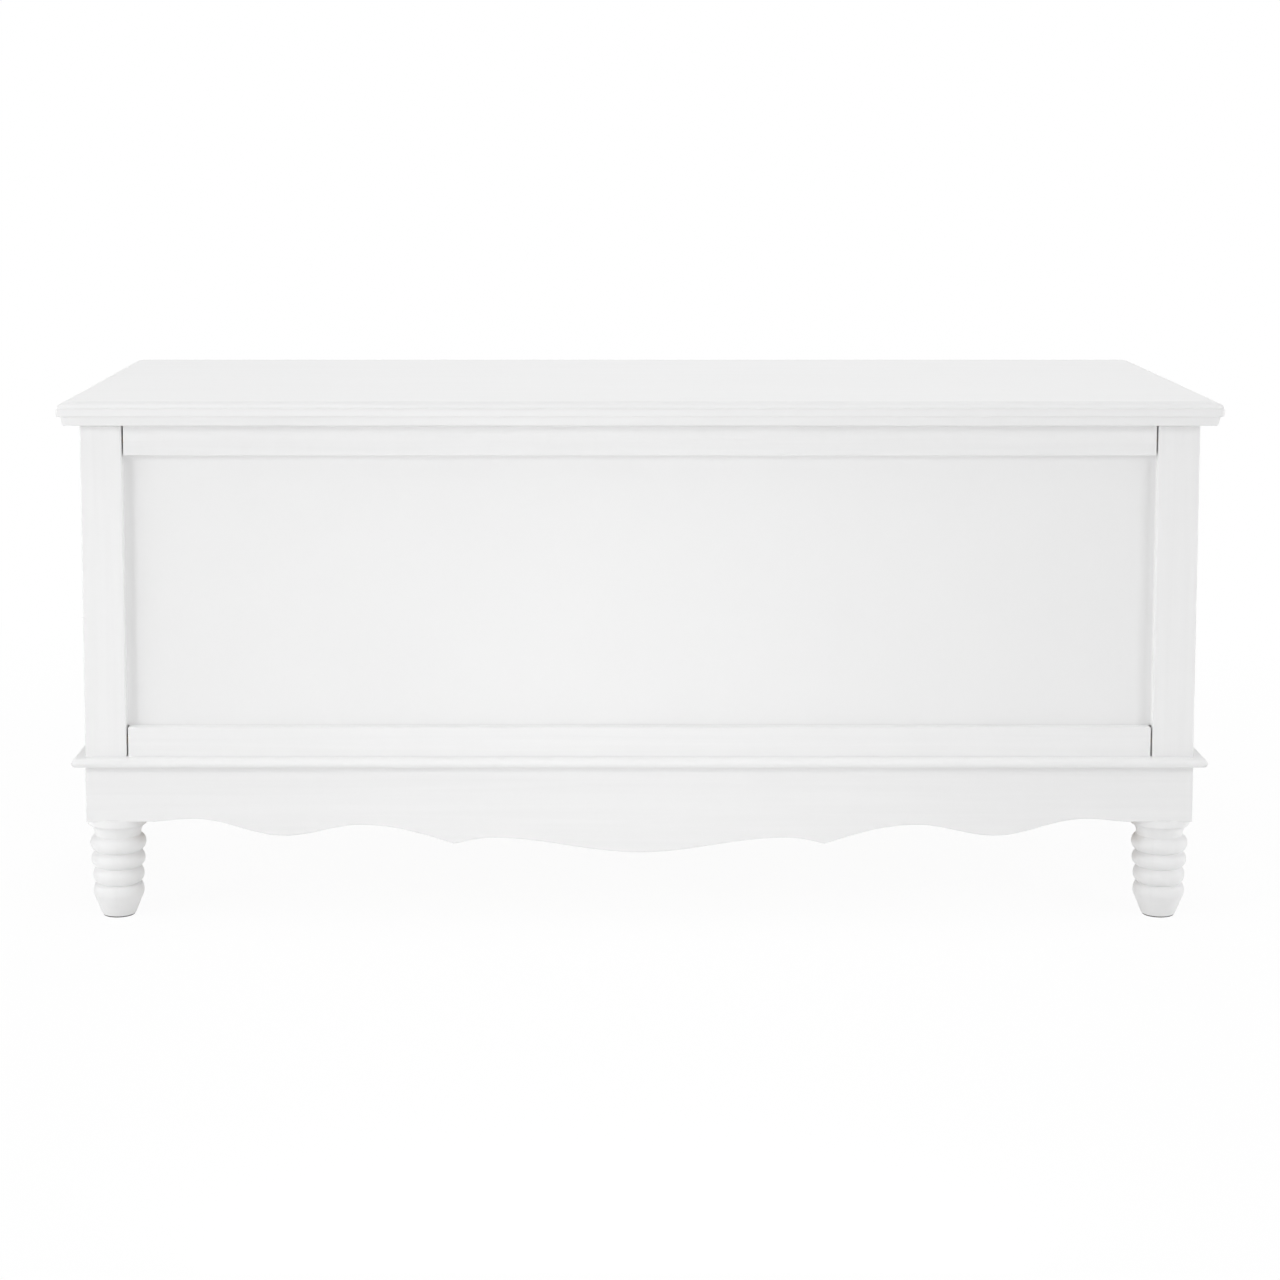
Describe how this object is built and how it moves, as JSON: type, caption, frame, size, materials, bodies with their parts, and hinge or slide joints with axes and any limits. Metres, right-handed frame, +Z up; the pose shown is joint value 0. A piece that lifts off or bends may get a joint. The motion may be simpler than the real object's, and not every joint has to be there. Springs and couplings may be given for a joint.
{
  "type": "wooden toy box",
  "caption": "White painted wooden toy chest with a hinged moulded lid, recessed panels, scalloped apron and turned legs; slotted stays hold the lid open.",
  "frame": {"origin": "on the floor, under the middle of the whole object's box, hinge barrels included", "axes": "+X along the length to the right as seen from the front, +Y to the back, +Z up"},
  "size_m": [1, 0.4264, 0.4585],
  "materials": {
    "painted_pine": "brushed white satin paint over pine, grain faintly showing",
    "painted_board": "smooth white satin paint over board",
    "bare_pine": "planed bare pine",
    "zinc_plated_steel": "bright zinc plated",
    "nickel_plated_steel": "satin nickel plated",
    "knob_plastic": "moulded white nylon",
    "glide_plastic": "moulded dark plastic",
    "bumper_rubber": "soft clear-grey bumper"
  },
  "bodies": {
    "box": {"back_apron": "painted_pine", "back_bottom_rail": "painted_pine", "back_left_leg": "painted_pine", "back_left_post": "painted_pine", "back_moulding": "painted_pine", "back_panel": "painted_board", "back_right_leg": "painted_pine", "back_right_post": "painted_pine", "back_top_rail": "painted_pine", "corner_blocks": "bare_pine", "floor_bearers": "bare_pine", "floor_panel": "painted_board", "foot_glides": "glide_plastic", "front_apron": "painted_pine", "front_bottom_rail": "painted_pine", "front_left_leg": "painted_pine", "front_left_post": "painted_pine", "front_moulding": "painted_pine", "front_panel": "painted_board", "front_right_leg": "painted_pine", "front_right_post": "painted_pine", "front_top_rail": "painted_pine", "hinge_box_screws": "zinc_plated_steel", "hinge_pins": "nickel_plated_steel", "left_apron": "painted_pine", "left_bottom_rail": "painted_pine", "left_hinge_box_leaf": "nickel_plated_steel", "left_moulding": "painted_pine", "left_panel": "painted_board", "left_top_rail": "painted_pine", "leg_hanger_bolts": "zinc_plated_steel", "leg_insert_nuts": "zinc_plated_steel", "lid_bumpers": "bumper_rubber", "post_screws": "zinc_plated_steel", "rail_dowels": "bare_pine", "right_apron": "painted_pine", "right_bottom_rail": "painted_pine", "right_hinge_box_leaf": "nickel_plated_steel", "right_moulding": "painted_pine", "right_panel": "painted_board", "right_top_rail": "painted_pine", "stay_friction_knobs": "knob_plastic", "stay_plate_screws": "zinc_plated_steel", "stay_stud_plates": "nickel_plated_steel"},
    "lid": {"lid_board": "painted_pine", "lid_front_strip": "painted_pine", "lid_left_strip": "painted_pine", "lid_right_strip": "painted_pine", "lid_back_strip": "painted_pine", "lid_cleats": "painted_pine", "cleat_screws": "zinc_plated_steel", "left_hinge_lid_leaf": "nickel_plated_steel", "right_hinge_lid_leaf": "nickel_plated_steel", "hinge_lid_screws": "zinc_plated_steel", "stay_lid_brackets": "nickel_plated_steel", "stay_bracket_screws": "zinc_plated_steel"},
    "left_stay": {"left_stay_arm": "nickel_plated_steel"},
    "right_stay": {"right_stay_arm": "nickel_plated_steel"}
  },
  "joints": [
    {"name": "lid_hinge", "type": "hinge", "parent": "box", "child": "lid", "pos_m": [0, 0.20975, 0.4375], "axis": [-1, 0, 0], "range_deg": [0, 95]},
    {"name": "left_stay_pivot", "type": "hinge", "parent": "lid", "child": "left_stay", "pos_m": [-0.44575, 0.07045, 0.4235], "axis": [-1, 0, 0], "range_deg": [-47.5, 0]},
    {"name": "right_stay_pivot", "type": "hinge", "parent": "lid", "child": "right_stay", "pos_m": [0.44575, 0.07045, 0.4235], "axis": [-1, 0, 0], "range_deg": [-47.5, 0]}
  ],
  "couplings": [
    {"joint": "left_stay_pivot", "follows": "lid_hinge", "ratio": -0.5},
    {"joint": "right_stay_pivot", "follows": "lid_hinge", "ratio": -0.5}
  ]
}
